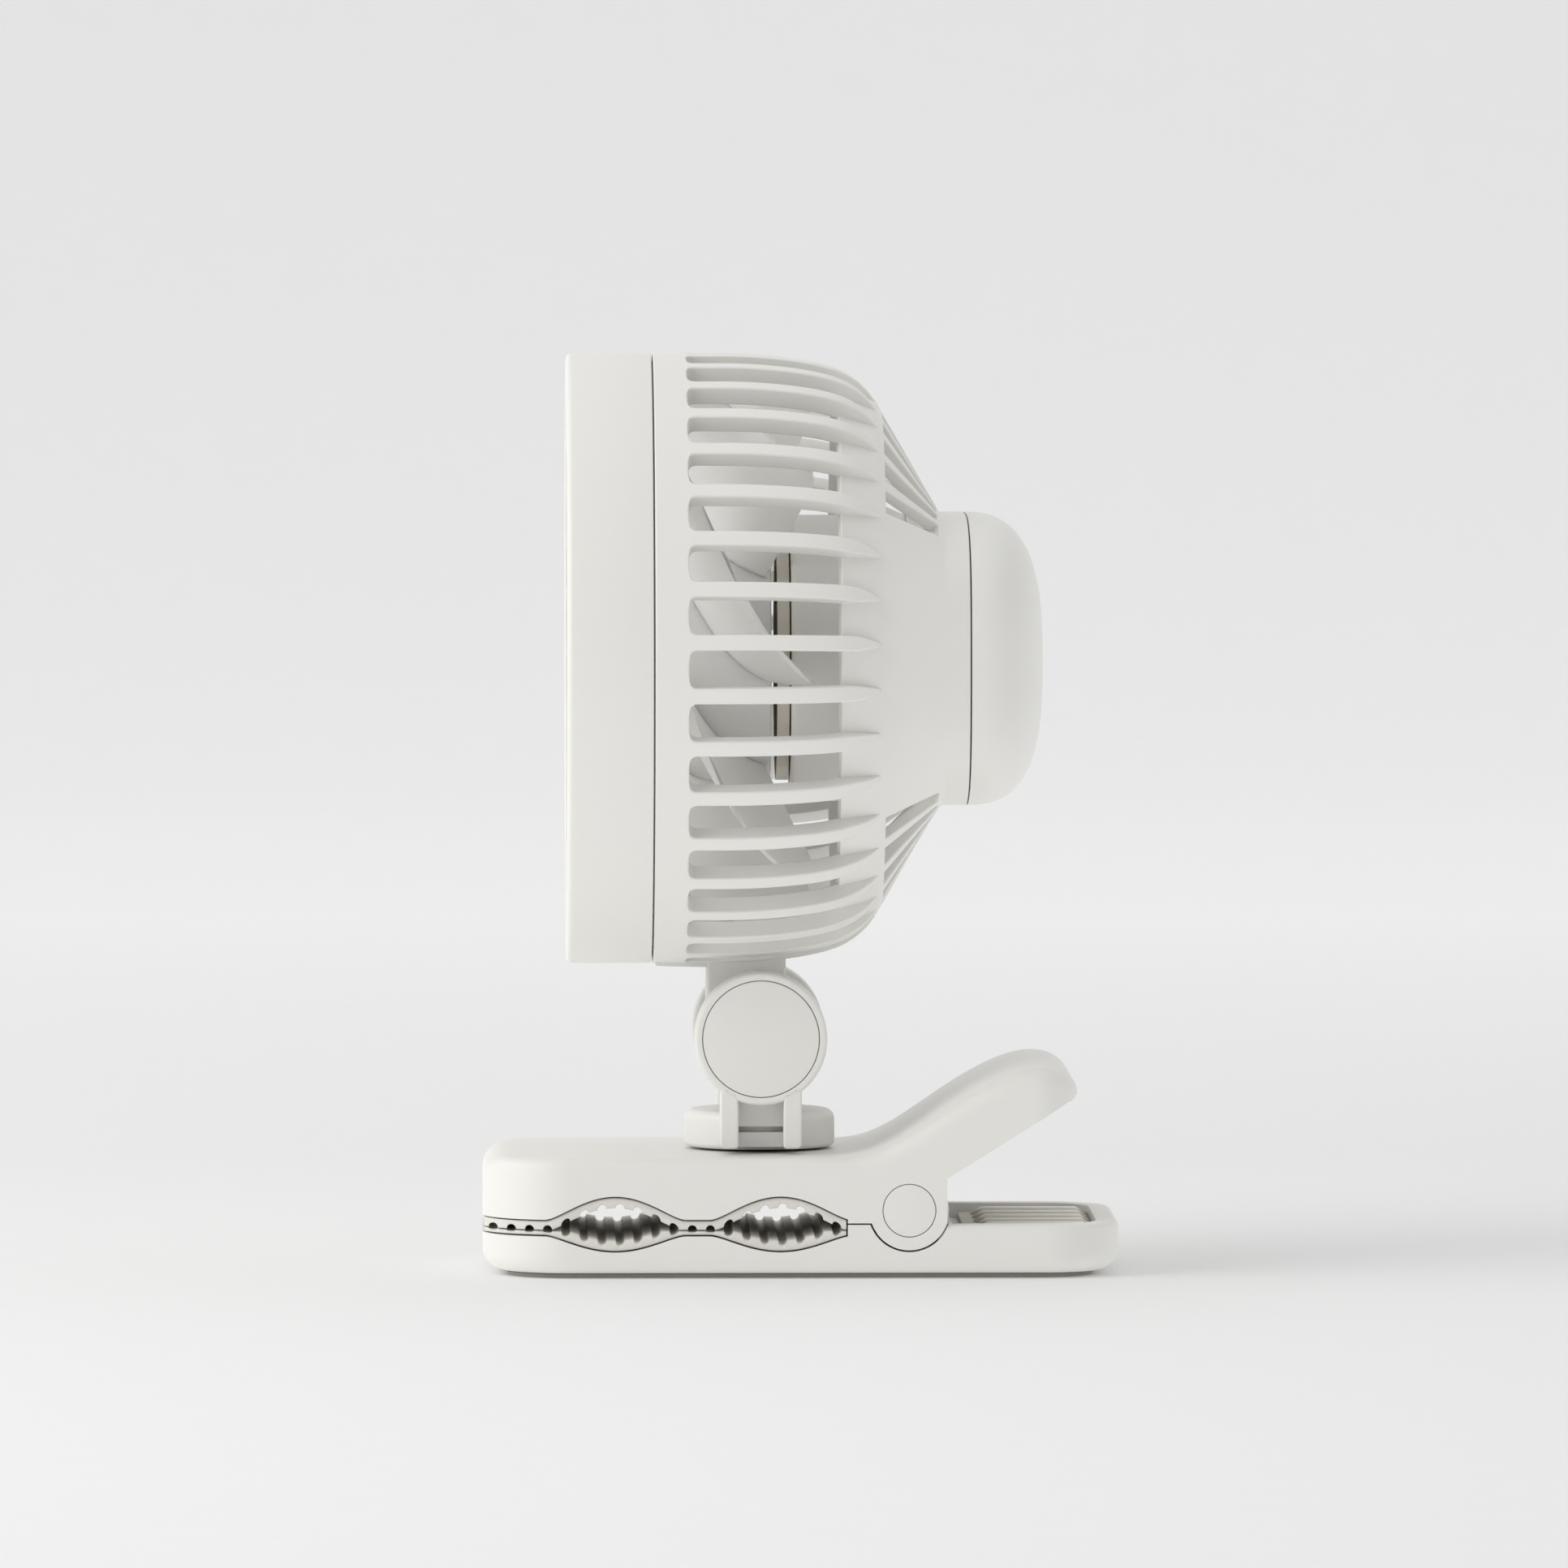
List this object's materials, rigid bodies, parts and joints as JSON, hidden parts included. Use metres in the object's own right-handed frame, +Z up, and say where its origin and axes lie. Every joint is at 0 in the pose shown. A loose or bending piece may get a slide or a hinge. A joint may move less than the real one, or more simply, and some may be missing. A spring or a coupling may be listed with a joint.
{
  "type": "clip fan",
  "caption": "Small rechargeable fan: a slotted drum head on a tilting, swivelling knuckle, carried by a wide sprung clip with a squeeze handle.",
  "frame": {"origin": "centre of the bounding box on the plane of the sole", "axes": "+Z up, -X is where the fan blows and the mouth of the clip opens, +X is the squeeze handle"},
  "size_m": [0.1194, 0.115, 0.1726],
  "materials": {
    "shell_white": "fine satin",
    "blade_white": "smooth",
    "pad_soft": "soft matt",
    "sole_rubber": "matt",
    "grip_tray": "satin",
    "plate_tan": "satin",
    "steel": "plated",
    "motor_can": "plated",
    "washer_black": "satin",
    "battery_wrap": "shrink film",
    "board_green": "solder mask",
    "switch_black": "satin",
    "socket_metal": "bright"
  },
  "bodies": {
    "lower_jaw": {"lower_jaw_shell": "shell_white", "base_plate": "shell_white", "base_sole": "sole_rubber", "lower_pad": "pad_soft", "grip_insert": "grip_tray", "hinge_pin": "steel", "torsion_spring": "steel", "base_screw_1": "steel", "base_screw_2": "steel"},
    "upper_jaw": {"upper_jaw_shell": "shell_white", "upper_jaw_plate": "shell_white", "upper_pad": "pad_soft", "hinge_cap_near": "shell_white", "hinge_cap_far": "shell_white", "plate_screw_1": "steel", "plate_screw_2": "steel"},
    "yoke": {"swivel_yoke": "shell_white", "swivel_bolt": "steel", "slip_washer": "washer_black", "yoke_cap_near": "shell_white", "yoke_cap_far": "shell_white", "tilt_bolt": "steel", "tilt_nut": "steel", "friction_washer_near": "washer_black", "friction_washer_far": "washer_black"},
    "head": {"neck": "shell_white", "neck_screw_front": "steel", "neck_screw_rear": "steel", "front_guard": "shell_white", "guard_cap": "shell_white", "rear_shell": "shell_white", "rear_cap": "shell_white", "motor_plate": "plate_tan", "motor": "motor_can", "motor_bearing": "steel", "battery_pack": "battery_wrap", "control_board": "board_green", "button_switch": "switch_black", "usb_socket": "socket_metal"},
    "button": {"power_button": "shell_white"},
    "fan": {"impeller": "blade_white", "motor_shaft": "steel", "impeller_nut": "shell_white"}
  },
  "joints": [
    {"name": "jaw_hinge", "type": "hinge", "parent": "lower_jaw", "child": "upper_jaw", "pos_m": [0.0201, 0, 0.01286], "axis": [0, 1, 0], "range_deg": [0, 30], "stiffness_Nm_per_rad": 0.3, "springref_deg": -57.3},
    {"name": "swivel", "type": "hinge", "parent": "upper_jaw", "child": "yoke", "pos_m": [-0.00746, 0, 0.0226], "axis": [0, 0, 1], "range_deg": [-90, 90]},
    {"name": "head_tilt", "type": "hinge", "parent": "yoke", "child": "head", "pos_m": [-0.00746, 0, 0.0444], "axis": [0, 1, 0], "range_deg": [-45, 45]},
    {"name": "fan_spin", "type": "hinge", "parent": "head", "child": "fan", "pos_m": [0, 0, 0.1151], "axis": [1, 0, 0], "continuous": true},
    {"name": "button_press", "type": "slide", "parent": "head", "child": "button", "axis": [-1, 0, 0], "range_m": [0, 0.0006], "stiffness_N_per_m": 800, "springref_m": -0.001}
  ]
}
